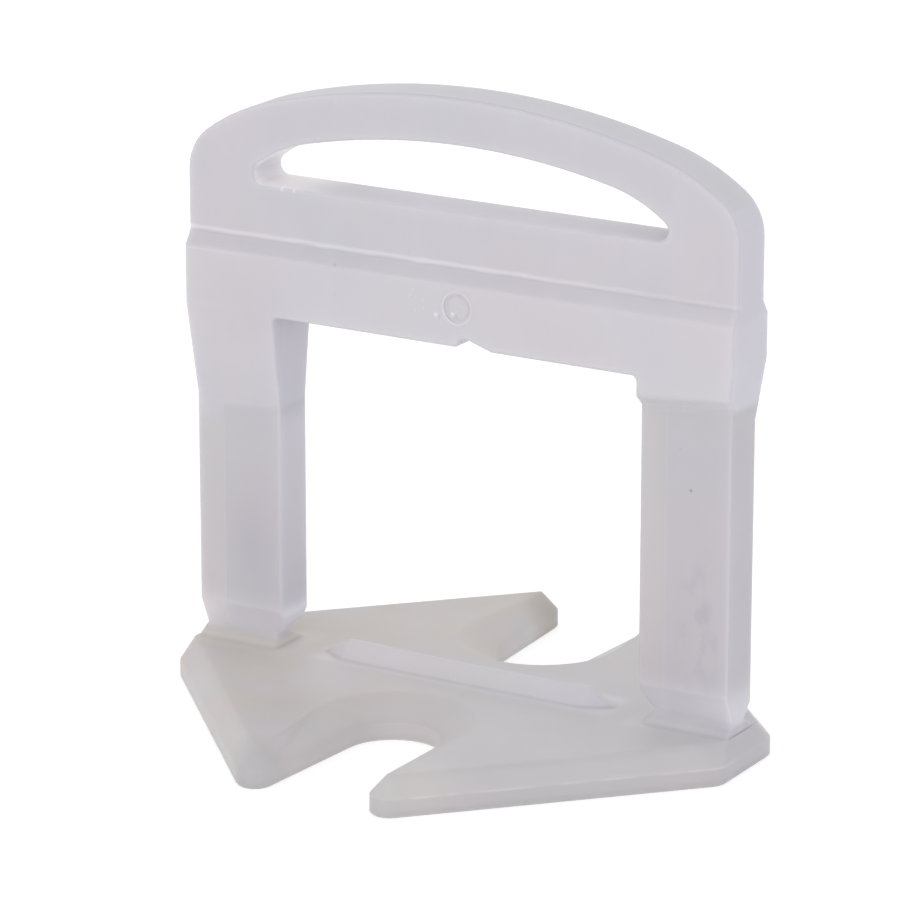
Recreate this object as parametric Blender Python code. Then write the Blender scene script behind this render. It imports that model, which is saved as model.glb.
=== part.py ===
"""Tile levelling clip, moulded in one piece from translucent polypropylene.

A forked foot goes under the tiles. Two legs stand up through the joint and are
thinned at the bottom, where they snap off. A wedge is driven through the window
between them, and the arched handle on top has an opening for a finger.

X runs from leg to leg, Y runs through the window, and Z is up. The foot rests
on Z = 0.
"""
import math

import bmesh
import bpy
from mathutils import Vector

MM = 0.001
CLIP_NAME = "levelling_clip"

# Foot, seen from above
FOOT_LENGTH = 41.3 * MM
FOOT_DEPTH = 38.4 * MM
FOOT_END_WIDTH = 6.7 * MM
FOOT_CORNER_RADIUS = 1.55 * MM
ARM_ANGLE = math.radians(46.3)
ARM_TIP_RADIUS = 1.25 * MM
SLOT_RADIUS = 3.15 * MM
BRIDGE_WIDTH = 12.8 * MM

# Foot, in section: a low rim all round, and a top that slopes up from it
RIM_HEIGHT = 1.3 * MM
FOOT_HEIGHT = 2.5 * MM
END_SLOPE_WIDTH = 0.45 * MM
ARM_SLOPE_WIDTH = 1.1 * MM
SLOT_SLOPE_WIDTH = 2.4 * MM
FOOT_EDGE = 0.15 * MM

# Rib along the middle of the foot
RIB_LENGTH = 23.0 * MM
RIB_RAMP = 2.4 * MM
RIB_WIDTH = 2.5 * MM
RIB_HEIGHT = 3.6 * MM
RIB_CREST = 0.3 * MM

# Whole clip, and the head above the window
CLIP_HEIGHT = 41.7 * MM
HEAD_HEIGHT = 16.1 * MM

# Legs and the window between them
WINDOW_WIDTH = 27.0 * MM
WINDOW_CORNER_RADIUS = 0.35 * MM
LEG_WIDTH = 6.5 * MM
LEG_THICKNESS = 3.2 * MM

# Snap-off neck at the bottom of each leg, and the root that it breaks from
NECK_HEIGHT = 3.2 * MM
NECK_THICKNESS = 1.6 * MM
TAPER_FRONT_HEIGHT = 5.1 * MM
TAPER_BACK_HEIGHT = 4.1 * MM
CORNER_CUT_HEIGHT = 4.7 * MM
CORNER_CUT = 0.95 * MM
CORNER_CUT_HOLLOW = 0.36
ROOT_THICKNESS = 3.6 * MM
ROOT_INSET = 0.1 * MM

# Crossbar over the window, with a sloped shoulder along its top
BODY_WIDTH = 40.7 * MM
BAR_THICKNESS = 4.7 * MM
BAR_HEIGHT = 4.1 * MM
SHOULDER_HEIGHT = 0.9 * MM

# Where each leg starts and stops swelling into the crossbar, measured from the
# top of the window. The step on the right leg's front climbs toward its outer side.
LEFT_SWELL_RANGE = (-6.1 * MM, 0.2 * MM)
RIGHT_FRONT_SWELL_RANGE = (-2.0 * MM, -1.3 * MM)
RIGHT_FRONT_SWELL_CLIMB = 0.6 * MM
RIGHT_BACK_SWELL_RANGE = (-2.8 * MM, 1.2 * MM)

# Notch in the top of the window, just right of the middle
NOTCH_START = 0.4 * MM
NOTCH_WIDTH = 2.6 * MM
NOTCH_DEPTH = 0.55 * MM
NOTCH_STEEP_FLANK = 0.45 * MM
NOTCH_FLAT = 0.45 * MM

# Handle, and the finger opening under its band
HANDLE_THICKNESS = 3.5 * MM
HANDLE_ARCH_RADIUS = 53.1 * MM
HANDLE_SHOULDER_START = 14.1 * MM
HANDLE_SHOULDER_RADIUS = 15.0 * MM
HANDLE_CORNER_RADIUS = 3.4 * MM
HANDLE_BAND = 3.07 * MM
OPENING_HEIGHT = 4.33 * MM
OPENING_SHOULDER_START = 11.2 * MM
OPENING_SHOULDER_RADIUS = 10.0 * MM
OPENING_TIP_RADIUS = 0.7 * MM

# Injection gate mark on the front of the crossbar
GATE_X = 0.5 * MM
GATE_RISE = 2.6 * MM
GATE_RADIUS = 1.0 * MM
GATE_DEPTH = 0.15 * MM

# Soft edges, and how deep joined forms reach into each other
FRAME_EDGE = 0.18 * MM
OVERLAP = 0.6 * MM

# How finely round forms are drawn, and which angles count as an edge
WIDE_ARC_STEPS = 9
TIGHT_ARC_STEPS = 7
SMALL_ARC_STEPS = 6
FINE_ARC_STEPS = 3
GATE_STEPS = 28
EDGE_STEPS = 2
CREASE_ANGLE = math.radians(28)
EDGE_ANGLE = math.radians(50)
FLAT_ANGLE = math.radians(0.4)

# Places that follow from the sizes above
WINDOW_TOP = CLIP_HEIGHT - HEAD_HEIGHT
SHOULDER_BOTTOM = WINDOW_TOP + BAR_HEIGHT
SHOULDER_TOP = SHOULDER_BOTTOM + SHOULDER_HEIGHT
LEFT_SWELL = tuple(WINDOW_TOP + rise for rise in LEFT_SWELL_RANGE)
RIGHT_FRONT_SWELL = tuple(WINDOW_TOP + rise for rise in RIGHT_FRONT_SWELL_RANGE)
RIGHT_BACK_SWELL = tuple(WINDOW_TOP + rise for rise in RIGHT_BACK_SWELL_RANGE)
OPENING_BOTTOM = CLIP_HEIGHT - HANDLE_BAND - OPENING_HEIGHT
GATE_Z = WINDOW_TOP + GATE_RISE
ROOT_DEPTH = FOOT_HEIGHT - OVERLAP
LEG_OUTER = WINDOW_WIDTH / 2 + LEG_WIDTH


def clear_scene():
    """Remove every object that the file starts with."""
    for item in list(bpy.data.objects):
        bpy.data.objects.remove(item, do_unlink=True)


def arc(centre, radius, start, end, steps):
    """Points on an arc, angles in radians, both ends included."""
    turns = [start + (end - start) * step / steps for step in range(steps + 1)]
    return [(centre[0] + radius * math.cos(turn), centre[1] + radius * math.sin(turn)) for turn in turns]


def ramp(value, low, high, from_value, to_value):
    """A straight change from one value to another between two heights."""
    share = min(max((value - low) / (high - low), 0.0), 1.0)
    return from_value + (to_value - from_value) * share


def new_object(name, mesh_builder, material=None):
    """Turn a bmesh into a named object with its face normals outward."""
    mesh_builder.normal_update()
    bmesh.ops.recalc_face_normals(mesh_builder, faces=mesh_builder.faces)
    mesh = bpy.data.meshes.new(name)
    mesh_builder.to_mesh(mesh)
    mesh_builder.free()
    mesh.shade_smooth()
    mesh.set_sharp_from_angle(angle=CREASE_ANGLE)
    if material is not None:
        mesh.materials.append(material)
    item = bpy.data.objects.new(name, mesh)
    bpy.context.scene.collection.objects.link(item)
    return item


def as_guide(item):
    """Mark an object as a helper that is only used by another's modifiers."""
    item.hide_render = True
    item.display_type = "WIRE"
    return item


def make_material():
    """Milky polypropylene, slightly lilac, with a soft sheen."""
    material = bpy.data.materials.new("milky_polypropylene")
    material.use_nodes = True
    shader = material.node_tree.nodes["Principled BSDF"]
    shader.inputs["Base Color"].default_value = (0.66, 0.64, 0.67, 1.0)
    shader.inputs["Roughness"].default_value = 0.38
    shader.inputs["Metallic"].default_value = 0.0
    return material


def foot_quadrant(inset, climb):
    """Outline of one quarter of the foot, from its end to the middle of its slot.

    Every line and arc is moved inward by the inset and by its own share of the
    slope, so outlines at different heights have matching points.
    """
    normal = Vector((math.sin(ARM_ANGLE), math.cos(ARM_ANGLE)))
    lean = math.atan2(normal.y, normal.x)
    end_inset = inset + climb * END_SLOPE_WIDTH
    arm_inset = inset + climb * ARM_SLOPE_WIDTH
    slot_inset = inset + climb * SLOT_SLOPE_WIDTH
    edge = normal.dot(Vector((FOOT_LENGTH / 2, FOOT_END_WIDTH / 2)))

    # The corner touches the foot's end and the arm's outer edge.
    corner_radius = FOOT_CORNER_RADIUS - end_inset
    corner_x = FOOT_LENGTH / 2 - end_inset - corner_radius
    corner_y = (edge - arm_inset - corner_radius - normal.x * corner_x) / normal.y
    corner = arc((corner_x, corner_y), corner_radius, 0.0, lean, SMALL_ARC_STEPS)

    # The slot's side is the straight line that touches the round of the tip on
    # one side and the round end of the slot on the other.
    tip_y = FOOT_DEPTH / 2 - ARM_TIP_RADIUS
    tip_x = (edge - ARM_TIP_RADIUS - normal.y * tip_y) / normal.x
    tip_radius = ARM_TIP_RADIUS - arm_inset
    slot_y = BRIDGE_WIDTH / 2 + SLOT_RADIUS
    slot_radius = SLOT_RADIUS + slot_inset
    across = Vector((tip_x, tip_y - slot_y))
    side = math.atan2(across.y, across.x) - math.acos((slot_radius + tip_radius) / across.length)
    tip = arc((tip_x, tip_y), tip_radius, lean, math.pi + side, TIGHT_ARC_STEPS)
    slot = arc((0.0, slot_y), slot_radius, side, -math.pi / 2, WIDE_ARC_STEPS)
    return corner + tip + slot


def foot_outline(inset, climb):
    """The whole foot outline, mirrored from one quarter."""
    quarter = foot_quadrant(inset, climb)
    right_back = quarter
    left_back = [(-x, y) for x, y in reversed(quarter[:-1])]
    left_front = [(-x, -y) for x, y in quarter]
    right_front = [(x, -y) for x, y in reversed(quarter[:-1])]
    return right_back + left_back + left_front + right_front


def make_foot(material):
    """The foot as a stack of outlines: inset, share of the slope climbed, height."""
    bend = FOOT_EDGE / 2
    climbed = bend / (FOOT_HEIGHT - RIM_HEIGHT)
    sections = [
        (FOOT_EDGE, 0.0, 0.0),
        (0.0, 0.0, FOOT_EDGE),
        (0.0, 0.0, RIM_HEIGHT - bend),
        (bend / 2, climbed, RIM_HEIGHT + bend),
        (0.0, 1.0, FOOT_HEIGHT),
    ]
    builder = bmesh.new()
    rings = []
    for inset, climb, height in sections:
        rings.append([builder.verts.new((x, y, height)) for x, y in foot_outline(inset, climb)])
    for lower, upper in zip(rings, rings[1:]):
        for index in range(len(lower)):
            after = (index + 1) % len(lower)
            builder.faces.new((lower[index], lower[after], upper[after], upper[index]))
    builder.faces.new(reversed(rings[0]))
    builder.faces.new(rings[-1])
    return new_object(CLIP_NAME, builder, material)


def make_rib():
    """A low ridge with sloping ends between the legs, on top of the foot."""
    sink = FOOT_HEIGHT - OVERLAP
    stations = [
        (-RIB_LENGTH / 2, FOOT_HEIGHT - OVERLAP / 2),
        (-RIB_LENGTH / 2 + RIB_RAMP, RIB_HEIGHT),
        (RIB_LENGTH / 2 - RIB_RAMP, RIB_HEIGHT),
        (RIB_LENGTH / 2, FOOT_HEIGHT - OVERLAP / 2),
    ]
    # The flanks keep the foot's width where they meet it, so below the surface
    # they run on outward at the same slope.
    spread = (RIB_WIDTH - RIB_CREST) / 2 * OVERLAP / (RIB_HEIGHT - FOOT_HEIGHT)
    low = RIB_WIDTH / 2 + spread
    builder = bmesh.new()
    rings = []
    for x, crest in stations:
        section = [(-low, sink), (-RIB_CREST / 2, crest), (RIB_CREST / 2, crest), (low, sink)]
        rings.append([builder.verts.new((x, y, z)) for y, z in section])
    for first, second in zip(rings, rings[1:]):
        for index in range(len(first)):
            after = (index + 1) % len(first)
            builder.faces.new((first[index], first[after], second[after], second[index]))
    builder.faces.new(rings[0])
    builder.faces.new(rings[-1])
    return as_guide(new_object("rib_guide", builder))


def leg_outline(swell):
    """One leg's outer side from the root up to the handle's corner."""
    root_x = FOOT_LENGTH / 2 - END_SLOPE_WIDTH - ROOT_INSET
    return [
        (root_x, ROOT_DEPTH),
        (root_x, FOOT_HEIGHT),
        (LEG_OUTER, NECK_HEIGHT),
        (LEG_OUTER, swell[0]),
        (BODY_WIDTH / 2, swell[1]),
    ]


def leg_inner_outline():
    """One leg's inner side from the corner of the window down to the root."""
    inner = WINDOW_WIDTH / 2
    neck = inner + CORNER_CUT
    corner = (inner - WINDOW_CORNER_RADIUS, WINDOW_TOP - WINDOW_CORNER_RADIUS)
    middle_height = (CORNER_CUT_HEIGHT + NECK_HEIGHT) / 2
    return arc(corner, WINDOW_CORNER_RADIUS, math.pi / 2, 0.0, FINE_ARC_STEPS) + [
        (inner, CORNER_CUT_HEIGHT),
        (inner + CORNER_CUT * CORNER_CUT_HOLLOW, middle_height),
        (neck, NECK_HEIGHT),
        (inner + CORNER_CUT / 2, FOOT_HEIGHT),
        (inner + CORNER_CUT / 2, ROOT_DEPTH),
    ]


def arch(radius, height, shoulder_start, shoulder_radius, shoulder_end):
    """The right half of an arch, from its top down: a wide arc, then a tighter one.

    The tighter arc touches the wide one at shoulder_start and runs on to the
    angle shoulder_end, measured from straight up.
    """
    lean = math.asin(shoulder_start / radius)
    wide_centre = (0.0, height - radius)
    gap = radius - shoulder_radius
    tight_centre = (gap * math.sin(lean), wide_centre[1] + gap * math.cos(lean))
    quarter = math.pi / 2
    wide = arc(wide_centre, radius, quarter, quarter - lean, WIDE_ARC_STEPS)
    tight = arc(tight_centre, shoulder_radius, quarter - lean, quarter - shoulder_end, TIGHT_ARC_STEPS)
    return wide + tight[1:], tight_centre


def handle_arch():
    """The handle's outer edge, from its right corner over the top to the left."""
    lean = math.asin(HANDLE_SHOULDER_START / HANDLE_ARCH_RADIUS)
    gap = HANDLE_ARCH_RADIUS - HANDLE_SHOULDER_RADIUS
    corner_x = BODY_WIDTH / 2 - HANDLE_CORNER_RADIUS
    reach = HANDLE_SHOULDER_RADIUS - HANDLE_CORNER_RADIUS
    turn = math.asin((corner_x - gap * math.sin(lean)) / reach)
    half, centre = arch(
        HANDLE_ARCH_RADIUS, CLIP_HEIGHT, HANDLE_SHOULDER_START, HANDLE_SHOULDER_RADIUS, turn
    )
    corner_z = centre[1] + reach * math.cos(turn)
    corner = arc((corner_x, corner_z), HANDLE_CORNER_RADIUS, math.pi / 2 - turn, 0.0, SMALL_ARC_STEPS)
    half = half + corner[1:]
    return list(reversed(half)) + [(-x, z) for x, z in half[1:]]


def notch_outline():
    """The notch in the top of the window, from left to right."""
    steep_end = NOTCH_START + NOTCH_STEEP_FLANK
    return [
        (NOTCH_START, WINDOW_TOP),
        (steep_end, WINDOW_TOP + NOTCH_DEPTH),
        (steep_end + NOTCH_FLAT, WINDOW_TOP + NOTCH_DEPTH),
        (NOTCH_START + NOTCH_WIDTH, WINDOW_TOP),
    ]


def frame_outline():
    """Legs, crossbar and handle seen from the front, as one closed line."""
    right_outer = leg_outline(RIGHT_BACK_SWELL)
    left_outer = [(-x, z) for x, z in reversed(leg_outline(LEFT_SWELL))]
    right_inner = leg_inner_outline()
    left_inner = [(-x, z) for x, z in reversed(right_inner)]
    return right_outer + handle_arch() + left_outer + left_inner + notch_outline() + right_inner


def opening_outline():
    """The finger opening: a half-moon that follows the handle's arch.

    A small round at each tip touches the flat bottom and the tighter arc.
    """
    radius = HANDLE_ARCH_RADIUS - HANDLE_BAND
    height = CLIP_HEIGHT - HANDLE_BAND
    lean = math.asin(OPENING_SHOULDER_START / radius)
    gap = radius - OPENING_SHOULDER_RADIUS
    centre_z = height - radius + gap * math.cos(lean)
    tip_z = OPENING_BOTTOM + OPENING_TIP_RADIUS
    reach = OPENING_SHOULDER_RADIUS - OPENING_TIP_RADIUS
    turn = math.acos((tip_z - centre_z) / reach)
    half, centre = arch(radius, height, OPENING_SHOULDER_START, OPENING_SHOULDER_RADIUS, turn)
    tip_x = centre[0] + reach * math.sin(turn)
    tip = arc((tip_x, tip_z), OPENING_TIP_RADIUS, math.pi / 2 - turn, -math.pi / 2, SMALL_ARC_STEPS)
    half = half + tip[1:]
    return half + [(-x, z) for x, z in reversed(half[1:])]


def front_step_height(x):
    """How far the right leg's front step has climbed at this distance along it."""
    return RIGHT_FRONT_SWELL_CLIMB * (x - WINDOW_WIDTH / 2) / LEG_WIDTH


def half_thickness(x, z, face):
    """Half the frame's thickness at a point; face is -1 in front, +1 behind."""
    if x < 0:
        swell = LEFT_SWELL
        rise = 0.0
    elif face < 0:
        swell = RIGHT_FRONT_SWELL
        rise = front_step_height(x)
    else:
        swell = RIGHT_BACK_SWELL
        rise = 0.0
    taper = TAPER_FRONT_HEIGHT if face < 0 else TAPER_BACK_HEIGHT
    if z < NECK_HEIGHT:
        # The root spreads on at the same slope below the foot's top, out of sight.
        share = (NECK_HEIGHT - z) / (NECK_HEIGHT - FOOT_HEIGHT)
        thickness = NECK_THICKNESS + (ROOT_THICKNESS - NECK_THICKNESS) * share
    elif z < max(TAPER_FRONT_HEIGHT, TAPER_BACK_HEIGHT):
        thickness = ramp(z, NECK_HEIGHT, taper, NECK_THICKNESS, LEG_THICKNESS)
    elif z < SHOULDER_BOTTOM:
        thickness = ramp(z - rise, swell[0], swell[1], LEG_THICKNESS, BAR_THICKNESS)
    else:
        thickness = ramp(z, SHOULDER_BOTTOM, SHOULDER_TOP, BAR_THICKNESS, HANDLE_THICKNESS)
    return thickness / 2


def cut_levels():
    """Every height where the frame's thickness starts or stops changing.

    Each is a point and a normal. All are level but the two lines of the right
    leg's front step.
    """
    level = sorted({
        FOOT_HEIGHT, NECK_HEIGHT, TAPER_FRONT_HEIGHT, TAPER_BACK_HEIGHT,
        *LEFT_SWELL, *RIGHT_BACK_SWELL, SHOULDER_BOTTOM, SHOULDER_TOP,
    })
    planes = [(Vector((0.0, 0.0, height)), Vector((0.0, 0.0, 1.0))) for height in level]
    tilted = Vector((-RIGHT_FRONT_SWELL_CLIMB, 0.0, LEG_WIDTH)).normalized()
    for height in RIGHT_FRONT_SWELL:
        planes.append((Vector((WINDOW_WIDTH / 2, 0.0, height)), tilted))
    return planes


def make_frame():
    """Legs, crossbar and handle: one outline, drawn out to a varying thickness.

    The flat outline is cut at every height where the thickness starts or stops
    changing, and then each corner is moved out to the thickness at its place.
    """
    builder = bmesh.new()
    edges = []
    for outline in (frame_outline(), opening_outline()):
        corners = [builder.verts.new((x, 0.0, z)) for x, z in outline]
        for index, corner in enumerate(corners):
            edges.append(builder.edges.new((corner, corners[(index + 1) % len(corners)])))
    bmesh.ops.triangle_fill(builder, edges=edges, use_beauty=True, use_dissolve=False)
    for point, normal in cut_levels():
        parts = builder.verts[:] + builder.edges[:] + builder.faces[:]
        bmesh.ops.bisect_plane(builder, geom=parts, dist=1e-7, plane_co=point, plane_no=normal)

    drawn = bmesh.ops.extrude_face_region(builder, geom=builder.faces[:], use_keep_orig=True)
    back = {part for part in drawn["geom"] if isinstance(part, bmesh.types.BMVert)}
    for corner in builder.verts:
        face = 1 if corner in back else -1
        corner.co.y = face * half_thickness(corner.co.x, corner.co.z, face)
    builder.normal_update()
    bmesh.ops.recalc_face_normals(builder, faces=builder.faces)
    bmesh.ops.dissolve_limit(
        builder, angle_limit=FLAT_ANGLE, verts=builder.verts, edges=builder.edges, delimit={"NORMAL"}
    )
    frame = as_guide(new_object("frame_guide", builder))
    rounding = frame.modifiers.new("soft_edges", "BEVEL")
    rounding.width = FRAME_EDGE
    rounding.segments = EDGE_STEPS
    rounding.limit_method = "ANGLE"
    rounding.angle_limit = EDGE_ANGLE
    rounding.use_clamp_overlap = False
    return frame


def make_gate_cutter():
    """A shallow disc that sinks the gate mark into the front of the crossbar."""
    builder = bmesh.new()
    bmesh.ops.create_cone(
        builder, cap_ends=True, segments=GATE_STEPS,
        radius1=GATE_RADIUS, radius2=GATE_RADIUS, depth=2 * GATE_DEPTH,
    )
    for corner in builder.verts:
        flat = corner.co.copy()
        corner.co = Vector((GATE_X + flat.x, -BAR_THICKNESS / 2 + flat.z, GATE_Z + flat.y))
    return as_guide(new_object("gate_cutter", builder))


def add_boolean(item, guide, operation):
    """Join or cut with a guide."""
    step = item.modifiers.new(guide.name, "BOOLEAN")
    step.operation = operation
    step.solver = "EXACT"
    step.object = guide


def main():
    clear_scene()
    clip = make_foot(make_material())
    add_boolean(clip, make_rib(), "UNION")
    add_boolean(clip, make_frame(), "UNION")
    add_boolean(clip, make_gate_cutter(), "DIFFERENCE")


main()
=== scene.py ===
# %% [markdown]
# # A tile levelling clip in milky plastic
#
# The clip is a single injection moulding in translucent polypropylene. Its foot goes
# under the tiles, its legs stand in the joint, and its arched handle stays above them.
# The solid comes ready made from the imported model, so this notebook gives it its
# finish, and then a studio and a camera. It starts by loading the model.

import math

import bmesh
import bpy
from mathutils import Matrix, Vector

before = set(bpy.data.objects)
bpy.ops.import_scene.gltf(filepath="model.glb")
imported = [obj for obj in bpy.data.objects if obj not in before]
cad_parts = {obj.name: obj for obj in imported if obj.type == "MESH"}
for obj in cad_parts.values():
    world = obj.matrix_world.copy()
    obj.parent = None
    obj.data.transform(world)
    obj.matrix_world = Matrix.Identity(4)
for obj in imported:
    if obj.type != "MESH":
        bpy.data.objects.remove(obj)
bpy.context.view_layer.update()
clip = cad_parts["levelling_clip"]

# %% [markdown]
# ## Measures
#
# The finish follows the form: the legs are thinner than the head, the mark of the
# mould's gate sits on the crossbar, and stains lie on the foot. Every measure is in
# millimetres, in the model's own frame: X from leg to leg, Y through the window, Z up.
# Each leg starts to thicken at its own height, along a line that climbs to the right.

# %% Measures of the clip
MM = 0.001
LEG_CENTRE = 16.75
LEG_WIDTH = 6.5
FOOT_TOP = 2.5
NECK_TOP = 3.2
LEFT_SWELL = 18.7
RIGHT_SWELL = 20.2
SWELL_SLOPE = 0.095
SWELL_LEVEL = 19.6
SHOULDER_FOOT = 29.7
OPENING_MIDDLE = 36.3
OPENING_HALF = 2.45
GATE_PLACE = (0.5, 28.2)
print("legs stand", 2 * LEG_CENTRE, "mm apart, from middle to middle")

# %% [markdown]
# ## Writing shader maths as sums
#
# A material is a graph of nodes, and long graphs are hard to read. This small class
# wraps a socket, so that `1 - mask * 0.5` adds the Math nodes for it. It knows only the
# operators that this notebook uses.

# %% A socket that can stand in a sum
class Wire:
    """One output socket of a graph, usable in Python sums."""

    def __init__(self, graph, socket):
        self.graph = graph
        self.socket = socket

    def maths(self, operation, *values):
        """A Math node on these values."""
        return self.graph.add("ShaderNodeMath", {"operation": operation}, dict(enumerate(values)))

    def __add__(self, other):
        return self.maths("ADD", self, other)

    def __radd__(self, other):
        return self.maths("ADD", other, self)

    def __sub__(self, other):
        return self.maths("SUBTRACT", self, other)

    def __rsub__(self, other):
        return self.maths("SUBTRACT", other, self)

    def __mul__(self, other):
        return self.maths("MULTIPLY", self, other)

    def __rmul__(self, other):
        return self.maths("MULTIPLY", other, self)

    def size(self):
        """The value without its sign."""
        return self.maths("ABSOLUTE", self)

    def least(self, other):
        """The smaller of two values."""
        return self.maths("MINIMUM", self, other)


print("a wire takes + - *, size and least")

# %% [markdown]
# ## A graph that grows by calls
#
# Every kind of node comes from one method, which takes the node's type, its settings
# and what goes into its sockets. The rest are short names for the few nodes that this
# finish needs again and again. Most masks are soft steps along an axis, made with Map
# Range, because it has its low and high ends in plain sight.

# %% The graph of one material or world
class Graph:
    """The nodes of one material or world, added one by one."""

    def __init__(self, owner):
        self.owner = owner
        owner.use_nodes = True
        self.tree = owner.node_tree
        self.tree.nodes.clear()

    def add(self, kind, settings=None, inputs=None, output=0):
        """Add a node: its type, then its settings, then values or wires by socket."""
        node = self.tree.nodes.new(kind)
        for name, value in (settings or {}).items():
            setattr(node, name, value)
        for name, value in (inputs or {}).items():
            if isinstance(value, Wire):
                self.tree.links.new(value.socket, node.inputs[name])
            else:
                node.inputs[name].default_value = value
        return Wire(self, node.outputs[output]) if len(node.outputs) else node

    def rise(self, value, low, high):
        """0 below low and 1 above high, with a soft change between them."""
        settings = {"interpolation_type": "SMOOTHSTEP"}
        inputs = {"Value": value, "From Min": low, "From Max": high}
        return self.add("ShaderNodeMapRange", settings, inputs)

    def fall(self, value, low, high):
        """1 below low and 0 above high, with a soft change between them."""
        settings = {"interpolation_type": "SMOOTHSTEP"}
        inputs = {"Value": value, "From Min": low, "From Max": high, "To Min": 1.0, "To Max": 0.0}
        return self.add("ShaderNodeMapRange", settings, inputs)

    def band(self, value, centre, half, soft):
        """1 within half a width of the centre, and 0 further out."""
        return self.fall((value - centre).size(), half - soft, half + soft)

    def mix(self, share, first, second):
        """A colour between two colours."""
        inputs = {0: share, 6: first, 7: second}
        return self.add("ShaderNodeMix", {"data_type": "RGBA"}, inputs, output=2)

    def tint(self, first, second, share=1.0):
        """A colour times another, by a share from 0 to 1."""
        settings = {"data_type": "RGBA", "blend_type": "MULTIPLY"}
        return self.add("ShaderNodeMix", settings, {0: share, 6: first, 7: second}, output=2)

    def place(self):
        """The point on the clip, in millimetres."""
        point = self.add("ShaderNodeTexCoord", output=3)
        return self.add("ShaderNodeVectorMath", {"operation": "SCALE"}, {0: point, "Scale": 1 / MM})

    def gap(self, vector, point):
        """The distance from a point."""
        settings = {"operation": "DISTANCE"}
        return self.add("ShaderNodeVectorMath", settings, {0: vector, 1: point}, output=1)

    def axes(self, vector):
        """A vector's three parts."""
        parts = self.add("ShaderNodeSeparateXYZ", None, {0: vector}).socket.node.outputs
        return [Wire(self, part) for part in parts]

    def stretch(self, vector, scale):
        """A vector with each axis scaled by its own amount."""
        return self.add("ShaderNodeVectorMath", {"operation": "MULTIPLY"}, {0: vector, 1: scale})

    def cloud(self, vector, scale, detail=2.0, roughness=0.5):
        """Soft noise between 0 and 1."""
        inputs = {"Vector": vector, "Scale": scale, "Detail": detail, "Roughness": roughness}
        return self.add("ShaderNodeTexNoise", None, inputs)


milky = Graph(bpy.data.materials.new("milky_polypropylene"))
print("started the material", milky.owner.name)

# %% [markdown]
# ## Milky polypropylene
#
# Natural polypropylene lets light in and scatters it, so the clip has no sharp inner
# shadows and its thin legs look darker than its thick head. Clear glass would show
# hard refractions and paint would look like chalk, so the shader is a plastic that
# scatters light under its skin. What changes over the clip is its colour, its gloss
# and its fine relief, worked out from the place on the clip and the way a face looks.

# %% Place on the clip
spot = milky.place()
x, y, z = milky.axes(spot)
from_above = milky.stretch(spot, (1.0, 1.0, 0.0))
from_front = milky.stretch(spot, (1.0, 0.0, 1.0))
on_front = milky.fall(y, -1.4, -1.1)
print("nodes for the place:", len(milky.tree.nodes))

# %% [markdown]
# ### Head, legs and foot
#
# The tone follows the thickness. A mask for the thin stretch of each leg ends at the
# climbing line where the leg begins to thicken into the crossbar, and the foot's mask
# ends at the necks and takes in the rib. Each mask is a product of soft steps.

# %% Zones of the clip
under_rib = milky.fall(x.size(), 12.0, 12.8)
foot_zone = milky.fall(z - under_rib * 1.2, FOOT_TOP + 0.35, NECK_TOP + 0.1)
upper = 1 - foot_zone
bar_zone = milky.rise(z, 19.5, 25.0) * milky.fall(z, SHOULDER_FOOT - 0.2, SHOULDER_FOOT + 0.2)

climb = (x + SWELL_LEVEL) * SWELL_SLOPE
on_left = milky.rise(0 - x, 12.0, 12.4) * upper
on_right = milky.rise(x, 12.0, 12.4) * upper
from_outside = x + LEG_CENTRE + LEG_WIDTH / 2
from_inside = x - LEG_CENTRE + LEG_WIDTH / 2
left_strip = milky.fall(from_outside, 1.85, 2.20)
right_strip = milky.band(from_inside, 1.05, 0.75, 0.50)
left_thin = milky.fall(z - climb - LEFT_SWELL, -0.2 - left_strip * 1.6, 0.3) * on_left
right_thin = milky.fall(z - climb - RIGHT_SWELL, -0.3, 0.3) * on_right
thin = left_thin + right_thin
print("nodes with the zones:", len(milky.tree.nodes))

# %% [markdown]
# ### Tones
#
# Each zone has one plain tone, a little violet, as milky plastic looks in white light.
# The head is painted palest on the crossbar, where the plastic is thickest, and the
# thin legs and the foot are painted darker, as shade. The tints that follow multiply
# these tones, so a change of one tone carries through the whole clip.

# %% Tones of the plastic
HEAD_TONE = (0.632, 0.611, 0.650, 1.0)
BAR_LIT_TONE = (0.657, 0.633, 0.668, 1.0)
LEG_SHADED_TONE = (0.584, 0.560, 0.594, 1.0)
FOOT_SHADED_TONE = (0.580, 0.556, 0.568, 1.0)
PALE_TINT = (1.20, 1.20, 1.19, 1.0)
DARK_TINT = (0.86, 0.85, 0.88, 1.0)

# The crossbar's tone is painted light, and the legs' and the foot's tones are painted shade.
colour = milky.mix(bar_zone, HEAD_TONE, BAR_LIT_TONE)
colour = milky.mix(thin, colour, LEG_SHADED_TONE)
colour = milky.mix(foot_zone, colour, FOOT_SHADED_TONE)
print("nodes with the tones:", len(milky.tree.nodes))

# %% [markdown]
# ### Depth in the legs
#
# Each leg shows its far edge through the milky plastic, as a faint upright line about
# 2 mm in from its left side, with a lighter strip beside it. Real refraction would
# need clear plastic, so the line and the strip are painted light here. The legs are
# painted paler at their necks, as a glow, since light reaches them from all sides.
# Two running sums collect how much painted light and painted shade each place gets.

# %% Strips of the legs
STRIP_TINT = (1.0, 0.992, 0.970, 1.0)
# Painted light: a glow at the foot of each leg, then the far edge's line and strip.
leg_foot_glow = milky.fall(z, 3.5, 6.8)
line_range = milky.rise(z, 4.6, 6.0)
left_line = milky.band(from_outside, 2.06, 0.03, 0.09) * line_range
right_line = milky.band(from_inside, 1.88, 0.03, 0.10) * line_range

left_light = left_strip * 0.20 + left_line * 0.40
right_light = right_strip * 0.17 + right_line * 0.25
painted_light = left_light * left_thin + right_light * right_thin + leg_foot_glow * thin * 0.9

strips = left_strip * left_thin + right_strip * right_thin
colour = milky.tint(colour, STRIP_TINT, strips)
print("nodes with the strips:", len(milky.tree.nodes))

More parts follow.
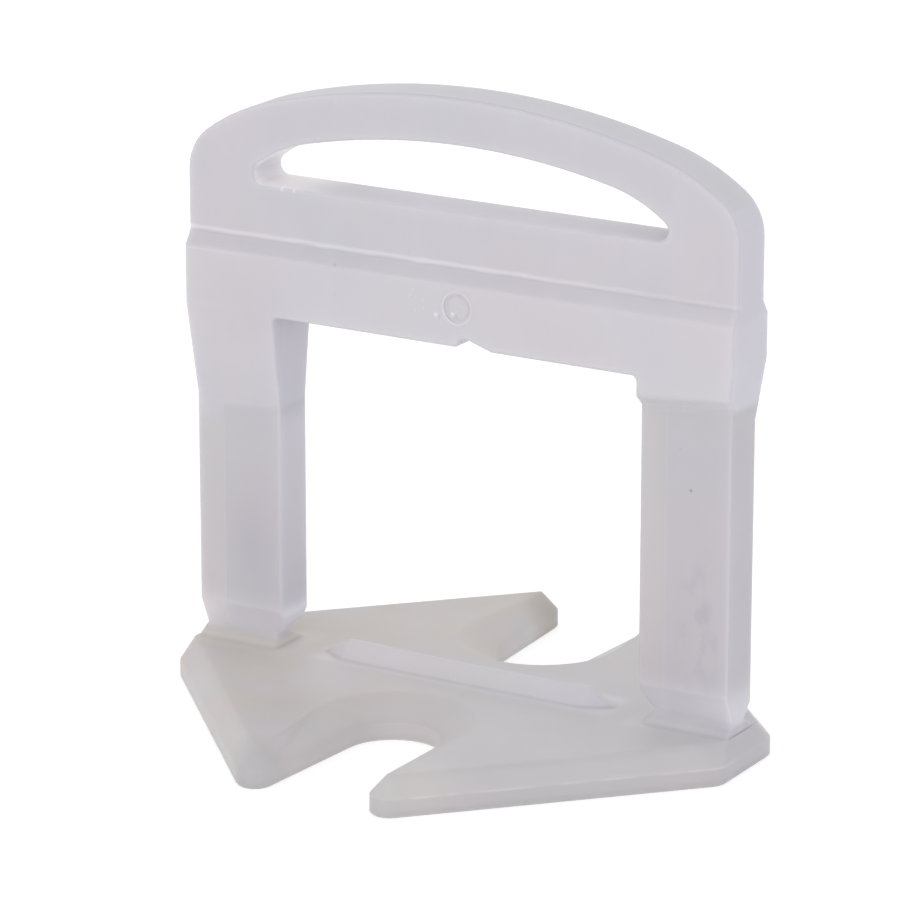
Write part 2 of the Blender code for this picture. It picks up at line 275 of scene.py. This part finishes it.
# %% [markdown]
# ### Panels of the legs
#
# The middle of each leg is darker and a little blotched, because less light comes back
# out of it. A soft box in X and Z places the panel, and noise breaks up its tone.

# %% Panels of the legs
blotches = milky.cloud(milky.stretch(spot, (0.30, 0.2, 0.13)), 1.0, 2.0)
left_panel = milky.band(x, -15.6, 1.6, 1.4) * milky.band(z, 9.6, 3.2, 4.2) * left_thin
right_panel = milky.band(x, 17.6, 1.8, 1.2) * milky.band(z, 12.0, 7.5, 4.0) * right_thin
painted_shade = left_panel * (0.30 + blotches * 0.6) + right_panel * blotches * 0.30
print("nodes with the panels:", len(milky.tree.nodes))

# %% [markdown]
# ### Faces and walls
#
# Light that runs inside the plastic leaves unevenly through its faces, and this light
# and shade is painted into the colour: the sides that look right are painted bluer and
# darker, those that look up greyer, and narrow walls paler. The surface normal tells
# one face from another, wherever the camera stands.

# %% Faces and walls
normal = milky.add("ShaderNodeNewGeometry", output=1)
rightward, backward, upward = milky.axes(normal)
level = milky.fall(backward.size(), 0.25, 0.6)
in_opening = milky.fall(x.size(), 15.2, 15.6)
in_opening = in_opening * milky.band(z, OPENING_MIDDLE, OPENING_HALF, 0.15)
top_face = milky.rise(upward, 0.45, 0.75) * milky.rise(z, 33.0, 33.5) * (1 - in_opening * 0.8)
right_face = milky.rise(rightward, 0.45, 0.75) * upper * (1 - top_face)
leg_wall = level * milky.fall(x.size(), 15.6, 15.9) * upper * milky.fall(z, 17.5, 19.5)
opening_end = in_opening * level * milky.rise(0 - x, 9.0, 13.0)
print("nodes with the faces:", len(milky.tree.nodes))

# %% [markdown]
# ### Necks, roots and edges
#
# The thinned necks and the roots below them are painted paler, as a glow, since light
# reaches them from all sides. A moulded corner gets a fine painted line, a highlight on
# the left leg and a shade on the head. A corner is where the normal has two large parts
# at once, so their product finds it.

# %% Necks, roots and edges
neck = milky.rise(z, 2.55, 2.75) * milky.fall(z, 4.6, 5.8) * (1 - under_rib)
neck_side = neck * milky.rise(rightward, 0.2, 0.6) * milky.fall(x, -1.0, 1.0)
neck_side = neck_side * milky.rise(z, 3.1, 3.4)
root = milky.band(z, 2.62, 0.12, 0.42) * milky.rise(x.size(), 12.2, 13.2)
root = root * milky.fall(y.size(), 2.0, 3.4)
ledge = in_opening * milky.rise(upward, 0.6, 0.8) * (1 - opening_end)
corner = milky.rise(0 - backward * rightward, 0.15, 0.40)
leg_edge_highlight = corner * left_thin * milky.rise(z, 5.0, 6.5)
head_edge_shade = corner * milky.rise(z, 20.5, 21.5) * (1 - thin)
top_edge_shade = milky.rise(0 - backward * upward, 0.15, 0.40) * milky.rise(z, 36.0, 37.0)
top_edge_shade = top_edge_shade * milky.rise(x, -12.0, -7.0)
print("nodes with the edges:", len(milky.tree.nodes))

# %% [markdown]
# ### Tints of the faces
#
# Each mask now tints the tone under it. A Mix node set to Multiply does this in one
# step, with the mask as its factor, so that half a mask gives half the tint.

# %% Tints of the faces
RIGHT_SHADE_TINT = (0.925, 0.935, 0.970, 1.0)
TOP_SHADE_TINT = (0.895, 0.910, 0.905, 1.0)
END_LIGHT_TINT = (1.17, 1.17, 1.12, 1.0)
NECK_LIGHT_TINT = (1.06, 1.07, 1.08, 1.0)
ROOT_LIGHT_TINT = (1.12, 1.12, 1.13, 1.0)
LEG_SIDE_SHADE_TINT = (0.965, 0.955, 0.935, 1.0)

# Painted shade on the faces that look right or up and on the legs' outer sides, and painted light
# on the opening's end wall.
colour = milky.tint(colour, RIGHT_SHADE_TINT, right_face)
colour = milky.tint(colour, TOP_SHADE_TINT, top_face)
colour = milky.tint(colour, END_LIGHT_TINT, opening_end)
# Painted light: the glow of the necks and the roots.
colour = milky.tint(colour, NECK_LIGHT_TINT, neck)
colour = milky.tint(colour, PALE_TINT, neck_side)
colour = milky.tint(colour, ROOT_LIGHT_TINT, root)
colour = milky.tint(colour, LEG_SIDE_SHADE_TINT, right_face * right_thin)
# Painted light on the leg walls, the opening's end and ledge and the left leg's corner; painted
# shade on the head's corners.
painted_light = painted_light + leg_wall * 0.70 + opening_end + ledge * 0.45 + leg_edge_highlight * 0.34
painted_shade = painted_shade + top_edge_shade * 0.55 + head_edge_shade * 0.40
print("nodes with the faces' tints:", len(milky.tree.nodes))

# %% [markdown]
# ### Shoulder
#
# The sloped shoulder is painted darker than the faces beside it, as shade, with a
# frayed painted highlight along its top and a short one under its left end. Noise on
# the line's height frays it. A painted highlight also follows the foot of the right
# leg's swell.

# %% Shoulder
frayed = milky.cloud(milky.stretch(spot, (0.55, 1.0, 3.0)), 1.0, 2.0)
# Painted shade on the shoulder's slope, and painted highlights along its edges.
shoulder_shade = milky.band(z, 30.10, 0.38, 0.12) * on_front * (1 - milky.rise(x, 2.0, 17.0) * 0.7)
shoulder_highlight = milky.band(z + frayed * 0.30, 31.0, 0.13, 0.12) * on_front
shoulder_highlight = shoulder_highlight * (1 - milky.rise(x + frayed * 9.0, 8.0, 22.0) * 0.6)
under_line = milky.band(z, 29.54, 0.05, 0.06) * milky.fall(x, -17.0, -14.5) * on_front
on_rib = under_rib * milky.rise(z, FOOT_TOP - 0.05, FOOT_TOP + 0.15)
swell_foot = milky.band(z - climb, 20.48, 0.10, 0.16) * on_right * on_front
print("nodes with the shoulder:", len(milky.tree.nodes))

# %% [markdown]
# ### Rib of the foot
#
# Both flanks of the foot's rib catch light, and its crest is dark towards the back.
# The flanks are a band in Y on either side of the middle.

# %% Rib of the foot
RIB_TINT = (1.11, 1.13, 1.16, 1.0)
rib_flank = milky.band(y.size(), 0.9, 0.9, 0.5) * milky.band(x, 0.0, 11.0, 0.8)
rib_flank = rib_flank * milky.rise(z, 2.35, 2.45)
rib_crest = under_rib * milky.rise(z, 3.2, 3.45) * milky.rise(y, -0.12, 0.02)
rib_crest = rib_crest * milky.band(x, 1.0, 7.0, 1.5)
colour = milky.tint(colour, RIB_TINT, rib_flank * foot_zone)
painted_light = painted_light + shoulder_highlight * 0.90 + under_line * 0.30 + swell_foot * 0.55
painted_shade = painted_shade + shoulder_shade * 0.28 + rib_crest * foot_zone
print("nodes with the rib:", len(milky.tree.nodes))

# %% [markdown]
# ### Clouds and stains
#
# The melt cools unevenly, which leaves soft clouds of grey and of hue, and this clip
# has yellowed a little on its foot. Noise at three scales makes the clouds, the streaks
# and the hues. The stain is noise too, held to the left and the rear of the foot, and
# the blush is one soft rosy box on the crossbar's left end.

# %% Clouds and stains
ROSY_TINT = (1.006, 0.995, 0.999, 1.0)
BLUISH_TINT = (0.990, 1.0, 1.008, 1.0)
CLOUD_TINT = (0.955, 0.965, 0.965, 1.0)
STREAK_TINT = (1.03, 1.02, 1.03, 1.0)
STAIN_TINT = (1.0, 0.965, 0.89, 1.0)
BLUSH_TINT = (0.980, 0.962, 0.975, 1.0)

clouds = milky.cloud(milky.stretch(spot, (0.11, 0.2, 0.09)), 1.0, 2.0)
streaks = milky.cloud(milky.stretch(spot, (0.5, 0.4, 0.10)), 1.0, 2.0)
hues = milky.cloud(milky.stretch(spot, (0.16, 0.2, 0.14)), 1.0, 0.0)
stains = milky.cloud(spot, 0.16, 1.0)
stain = milky.fall(x - y * 0.25, -12.0, 9.0) * foot_zone * milky.rise(stains, 0.30, 0.62)
blush = milky.band(x, -15.0, 3.5, 3.0) * milky.band(z, 26.0, 2.5, 2.5) * on_front

hue_tint = milky.mix(milky.rise(hues, 0.35, 0.65), ROSY_TINT, BLUISH_TINT)
colour = milky.tint(colour, hue_tint)
colour = milky.tint(colour, CLOUD_TINT, milky.rise(clouds, 0.30, 0.70) * 0.5)
colour = milky.tint(colour, STREAK_TINT, milky.rise(streaks, 0.45, 0.75) * 0.4)
colour = milky.tint(colour, STAIN_TINT, stain)
colour = milky.tint(colour, BLUSH_TINT, blush)
print("nodes with the clouds:", len(milky.tree.nodes))

# %% [markdown]
# ### Ends of the foot
#
# The foot thins out to its rim, so light leaves its ends unevenly, and this is painted
# in: the rear tip and the right end are painted dark, as shade, and of the two front
# tips one is painted pale and one darker. Each is a round soft patch seen from above,
# with a tint of its own, so a short table holds them all.

# %% Ends of the foot
def patch(across, depth, radius, soft):
    """A round soft patch of painted shade or light on the foot, seen from above."""
    gap = milky.gap(from_above, (across, depth, 0.0))
    return milky.fall(gap, radius - soft, radius + soft) * foot_zone


# Painted shade and light at the foot's ends: middle, radius, softness and tint of each patch.
LIGHT_AND_SHADE_PATCHES = (
    ((-2.6, 17.6), 2.3, 1.7, (0.74, 0.75, 0.71, 1.0)),
    ((22.0, 0.0), 3.8, 2.0, (0.91, 0.90, 0.93, 1.0)),
    ((5.0, -17.5), 3.4, 2.2, (1.04, 1.05, 1.02, 1.0)),
    ((-4.8, -18.8), 2.4, 1.6, (0.91, 0.92, 0.92, 1.0)),
    ((-5.0, -10.8), 3.8, 2.8, (0.93, 0.94, 0.93, 1.0)),
)
for middle, radius, soft, tone in LIGHT_AND_SHADE_PATCHES:
    colour = milky.tint(colour, tone, patch(*middle, radius, soft))
print("patches on the foot:", len(LIGHT_AND_SHADE_PATCHES))

# %% [markdown]
# ### Rims of the foot
#
# The upright rims are painted greyer than the top on the right half, as shade, paler
# inside the front slot, as light, and a thin broken painted highlight runs along the
# front rim.
# After this the two running sums are used, once each, so that no place is tinted twice.

# %% Rims of the foot
rim = milky.fall(upward, 0.25, 0.6) * foot_zone * (1 - under_rib * milky.rise(z, 2.4, 2.6))
slot_wall = rim * milky.fall(x.size(), 1.5, 4.5) * milky.fall(0 - y, 9.0, 13.0)
slot_wall = slot_wall * milky.rise(0 - y, 1.0, 2.0)
rim_highlight = milky.band(z, 1.22, 0.06, 0.07) * milky.rise(streaks, 0.35, 0.6) * foot_zone
rim_highlight = rim_highlight * milky.rise(x, 3.0, 4.0)
rim_highlight = rim_highlight * milky.fall(y, -2.5, -1.0)
# Painted light inside the slot and along the front rim, and painted shade on the right rims.
painted_light = painted_light + slot_wall * 0.40 + rim_highlight * 0.60
painted_shade = painted_shade + (rim - slot_wall) * milky.rise(x, -1.0, 3.0) * 0.40

colour = milky.tint(colour, PALE_TINT, painted_light.least(1.0))
colour = milky.tint(colour, DARK_TINT, painted_shade.least(1.0))
print("nodes with the foot:", len(milky.tree.nodes))

# %% [markdown]
# ### Gate mark
#
# The melt came in at the middle of the crossbar, where it left a shallow round mark
# with a swirl, a raised ring and two glossy dimples. The ring is painted pale, as light,
# the dimples get painted highlights, and a painted shade sits beside each dimple. All
# of them are distances from a point on the front, so they need no picture. A sine of
# the turn makes the swirl.

# %% Gate mark
def dot(across, height, radius, soft):
    """A round spot on the front of the clip."""
    gap = milky.gap(from_front, (across, 0.0, height))
    return milky.fall(gap, radius - soft, radius + soft) * on_front


gate_x, gate_z = GATE_PLACE
gate_gap = milky.gap(from_front, (gate_x, 0.0, gate_z))
turn_inputs = {0: z - gate_z, 1: x - gate_x}
gate_turn = milky.add("ShaderNodeMath", {"operation": "ARCTAN2"}, turn_inputs)
swirl = milky.add("ShaderNodeMath", {"operation": "SINE"}, {0: gate_turn * 2.0 + gate_gap * 5.5})
in_gate = milky.fall(gate_gap, 0.80, 1.05) * on_front
gate_ring_light = milky.band(gate_gap, 1.0, 0.10, 0.12) * on_front
dimples = (dot(-1.06, 27.59, 0.17, 0.10) + dot(0.1, 27.7, 0.17, 0.10)).least(1.0)
dimple_shade = dot(-0.84, 27.50, 0.12, 0.10) + dot(0.32, 27.62, 0.12, 0.10)
print("gate mark at", GATE_PLACE, "mm, nodes:", len(milky.tree.nodes))

# %% [markdown]
# ### Glints, spatter and specks
#
# Small glints are painted highlights, and a fine spatter beside the gate and a few
# dark specks of dirt were moulded in. Single ones are dots with a place of their
# own. Where there are many, Voronoi cells give each a place, and a mask keeps them
# where they belong.

# %% Glints, spatter and specks
glints = dot(-13.08, 34.18, 0.12, 0.08) + dot(-12.16, 34.16, 0.10, 0.07)
glints = glints + dot(14.9, 3.9, 0.12, 0.10)

spatter_noise = milky.add("ShaderNodeTexVoronoi", None, {"Vector": spot, "Scale": 1.9})
spatter_zone = milky.band(x, -1.6, 2.2, 1.4) * milky.band(z, 28.3, 0.8, 0.9) * on_front
spatter = milky.fall(spatter_noise, 0.08, 0.24) * spatter_zone

dirt = (dot(17.15, 18.53, 0.09, 0.06) + dot(-8.74, 29.81, 0.10, 0.08) * 0.35).least(1.0)
grain_noise = milky.add("ShaderNodeTexVoronoi", None, {"Vector": spot, "Scale": 0.55})
grains = milky.fall(grain_noise, 0.03, 0.07) * milky.rise(streaks, 0.50, 0.58)
print("nodes with the specks:", len(milky.tree.nodes))

# %% [markdown]
# ### Flow marks, and the marks' tints
#
# Where the melt slowed in the right leg it left a patch of dark flow marks. This is
# finer noise in a soft box. Then every mark tints the colour, the dirt last of all,
# because it covers what is under it.

# %% Flow marks and tints
SWIRL_TINT = (1.05, 1.03, 1.04, 1.0)
RING_LIGHT_TINT = (1.24, 1.23, 1.23, 1.0)
GRAIN_TINT = (0.80, 0.79, 0.80, 1.0)
DIRT_TONE = (0.16, 0.15, 0.16, 1.0)

flow_noise = milky.cloud(milky.stretch(spot, (0.9, 0.8, 0.55)), 1.0, 3.0, 0.6)
flow_zone = milky.band(x, 17.9, 1.2, 0.9) * milky.band(z, 9.6, 3.8, 2.6) * on_front
flow = milky.rise(flow_noise, 0.45, 0.66) * flow_zone

colour = milky.tint(colour, SWIRL_TINT, (swirl * 0.5 + 0.5) * in_gate * 0.4)
# The gate's ring is painted light, and the dots beside the dimples are painted shade.
colour = milky.tint(colour, RING_LIGHT_TINT, gate_ring_light)
colour = milky.tint(colour, DARK_TINT, dimple_shade.least(1.0) * 0.8)
colour = milky.tint(colour, DARK_TINT, flow * 0.60)
# Painted highlights on the dimples and the glints, together with the moulded spatter.
colour = milky.tint(colour, PALE_TINT, (spatter * 0.55 + dimples + glints).least(1.0))
colour = milky.tint(colour, GRAIN_TINT, grains * 0.35)
colour = milky.mix(dirt * 0.60, colour, DIRT_TONE)
print("nodes with all the colour:", len(milky.tree.nodes))

# %% [markdown]
# ### Relief
#
# The moulded skin is smooth but never perfectly flat. Slow waves bend its highlights,
# a finer noise breaks them up, and the gate's swirl and dimples stand in relief. A
# Bevel node softens the normals round the moulded corners without touching the mesh,
# more on the foot, whose creases have flowed, and at the necks.

# %% Relief
CORNER = 0.22
FOOT_EXTRA = 0.78
STEP_EXTRA = 0.35

waves = milky.cloud(milky.stretch(spot, (0.35, 0.35, 0.22)), 1.0, 1.0)
skin = milky.cloud(spot, 5.5, 1.0)
relief = waves * 0.10 + skin * 0.012 + in_gate * swirl * 0.03 - dimples * 0.06
flowed = foot_zone * (1 - on_rib * 0.75) * FOOT_EXTRA
step = milky.band(z, 24.0, 0.9, 0.3) * on_right + milky.fall(gate_gap, 1.2, 1.5) * on_front
corner_radius = (CORNER + flowed + (step + neck) * STEP_EXTRA) * MM
rounded = milky.add("ShaderNodeBevel", {"samples": 3}, {"Radius": corner_radius})
skin_normal = milky.add("ShaderNodeBump", None, {
    "Height": relief,
    "Strength": 0.35,
    "Distance": MM,
    "Normal": rounded,
})
print("corner radius in mm:", CORNER, "to", round(CORNER + FOOT_EXTRA, 2))

# %% [markdown]
# ### Gloss and the plastic itself
#
# The gloss wanders a little with the clouds and is higher in the dimples. Everything
# then meets in one Principled shader. Its subsurface part lets light travel about a
# millimetre under the skin, which is what makes the plastic milky and not chalky.

# %% Plastic
GLOSS = 0.40
SCATTER = 1.2

gloss = GLOSS + (clouds - 0.5) * 0.12 + (skin - 0.5) * 0.05 - dimples * 0.22 + foot_zone * 0.05
shader = milky.add("ShaderNodeBsdfPrincipled", None, {
    "Base Color": colour,
    "Roughness": gloss,
    "Normal": skin_normal,
    "Subsurface Weight": 0.6,
    "Subsurface Radius": (1.0, 0.95, 1.0),
    "Subsurface Scale": SCATTER * MM,
    "IOR": 1.49,
})
milky.add("ShaderNodeOutputMaterial", None, {"Surface": shader})
clip.data.materials.clear()
clip.data.materials.append(milky.owner)
print("nodes in the plastic:", len(milky.tree.nodes))

# %% [markdown]
# ## Studio
#
# The clip stands on a white sheet in even light, as for a catalogue. The camera has to
# see white, yet more light would bleach the clip. So rays that come from the camera, or
# from it by way of gloss or glass, find one paper, and the rays that light the clip
# find a slightly greyer one. Both keep a faint shadow round the foot.

# %% Floor
WHITE = (1.0, 1.0, 1.0, 1.0)
FLOOR_HALF = 1.5


def seen_rays(graph):
    """1 for rays from the camera, or from it by way of gloss or glass."""
    path = graph.add("ShaderNodeLightPath").socket.node.outputs
    names = ("Is Camera Ray", "Is Glossy Ray", "Is Transmission Ray")
    camera_ray, glossy_ray, through_ray = [Wire(graph, path[name]) for name in names]
    return (camera_ray + glossy_ray + through_ray).least(1.0)


def floor_sheet():
    """A wide flat sheet under the clip."""
    builder = bmesh.new()
    bmesh.ops.create_grid(builder, x_segments=1, y_segments=1, size=FLOOR_HALF)
    mesh = bpy.data.meshes.new("floor")
    builder.to_mesh(mesh)
    builder.free()
    sheet = bpy.data.objects.new("floor", mesh)
    bpy.context.scene.collection.objects.link(sheet)
    return sheet


floor = floor_sheet()
print("floor:", 2 * FLOOR_HALF, "m wide, faces:", len(floor.data.polygons))

# %% [markdown]
# ### Paper
#
# Each paper is a plain grey that also glows a little. The glow alone would hide the
# shadow, and the grey alone would look dull in soft light, so they are added.

# %% Paper
def paper_layer(graph, glow, grey):
    """A paper that glows a little, so that it looks white in soft light."""
    light = graph.add("ShaderNodeEmission", None, {"Color": WHITE, "Strength": glow})
    sheet = graph.add("ShaderNodeBsdfDiffuse", None, {"Color": (grey, grey, grey, 1.0)})
    return graph.add("ShaderNodeAddShader", None, {0: light, 1: sheet})


paper = Graph(bpy.data.materials.new("white_paper"))
seen_paper = paper_layer(paper, glow=0.62, grey=0.5)
lighting_paper = paper_layer(paper, glow=0.5, grey=0.45)
paper_inputs = {0: seen_rays(paper), 1: lighting_paper, 2: seen_paper}
surface = paper.add("ShaderNodeMixShader", None, paper_inputs)
paper.add("ShaderNodeOutputMaterial", None, {"Surface": surface})
floor.data.materials.append(paper.owner)
print("nodes in the paper:", len(paper.tree.nodes))

# %% [markdown]
# ### Backdrop
#
# The world does the same as the paper: the camera sees a white wall, and the clip is
# lit by a slightly weaker soft light from all round, as inside a light tent.

# %% Backdrop
studio = Graph(bpy.data.worlds.new("studio"))
bpy.context.scene.world = studio.owner
soft_light = studio.add("ShaderNodeBackground", None, {"Color": WHITE, "Strength": 0.92})
white_wall = studio.add("ShaderNodeBackground", None, {"Color": WHITE, "Strength": 1.0})
studio_inputs = {0: seen_rays(studio), 1: soft_light, 2: white_wall}
backdrop = studio.add("ShaderNodeMixShader", None, studio_inputs)
studio.add("ShaderNodeOutputWorld", None, {"Surface": backdrop})
print("nodes in the backdrop:", len(studio.tree.nodes))

# %% [markdown]
# ## Camera
#
# The camera's place was worked out from the clip's outline in the photograph. A long
# lens keeps the legs nearly parallel. Back, right and up are the camera's own axes,
# and its place is a sum of them, which is easier to adjust than X, Y and Z.

# %% Camera
AZIMUTH = 31.04
ELEVATION = 16.72
DISTANCE = 322.92
AIM_RIGHT = -1.2215
AIM_UP = 17.360
LENS = 196.6
SENSOR = 36.0


def direction(azimuth, elevation):
    """The way from the clip to a point round it, in degrees from the front and up."""
    turn, tilt = math.radians(azimuth), math.radians(elevation)
    return Vector((
        math.sin(turn) * math.cos(tilt),
        -math.cos(turn) * math.cos(tilt),
        math.sin(tilt),
    ))


back = direction(AZIMUTH, ELEVATION)
right = direction(AZIMUTH + 90.0, 0.0)
up = back.cross(right)
camera = bpy.data.objects.new("camera", bpy.data.cameras.new("camera"))
bpy.context.scene.collection.objects.link(camera)
camera.data.lens = LENS
camera.data.sensor_width = SENSOR
camera.matrix_world = Matrix((
    (right.x, up.x, back.x, 0.0),
    (right.y, up.y, back.y, 0.0),
    (right.z, up.z, back.z, 0.0),
    (0, 0, 0, 1),
))
camera.location = (right * AIM_RIGHT + up * AIM_UP + back * DISTANCE) * MM
camera.data.clip_start = 0.01
camera.data.clip_end = 10.0
bpy.context.scene.camera = camera
print("camera in mm:", [round(value / MM, 1) for value in camera.location])

# %% [markdown]
# ## Lamp
#
# The light tent alone would leave the clip flat. One large weak lamp from the front,
# a little to the right, gives the soft sheen on the legs. It is half a metre wide at
# half a metre away, so it adds no hard shadow.

# %% Lamp
LAMP_AIM = Vector((0, 0, 0.02))


def lamp(name, azimuth, elevation, distance, size, power):
    """A square soft light that faces the clip from a direction."""
    away = direction(azimuth, elevation)
    light = bpy.data.lights.new(name, "AREA")
    light.shape = "SQUARE"
    light.size = size
    light.energy = power
    item = bpy.data.objects.new(name, light)
    bpy.context.scene.collection.objects.link(item)
    item.location = LAMP_AIM + away * distance
    item.rotation_euler = away.to_track_quat("Z", "Y").to_euler()
    return item


front_light = lamp("front_light", azimuth=25, elevation=12, distance=0.5, size=0.5, power=0.35)
print("lamp:", front_light.data.energy, "W at", [round(value, 3) for value in front_light.location])

# %% [markdown]
# ## View
#
# The Standard view shows a colour as it is written, so the tones can be checked by
# eye. This notebook adds no shape to the clip.

# %% View
bpy.context.scene.view_settings.view_transform = "Standard"
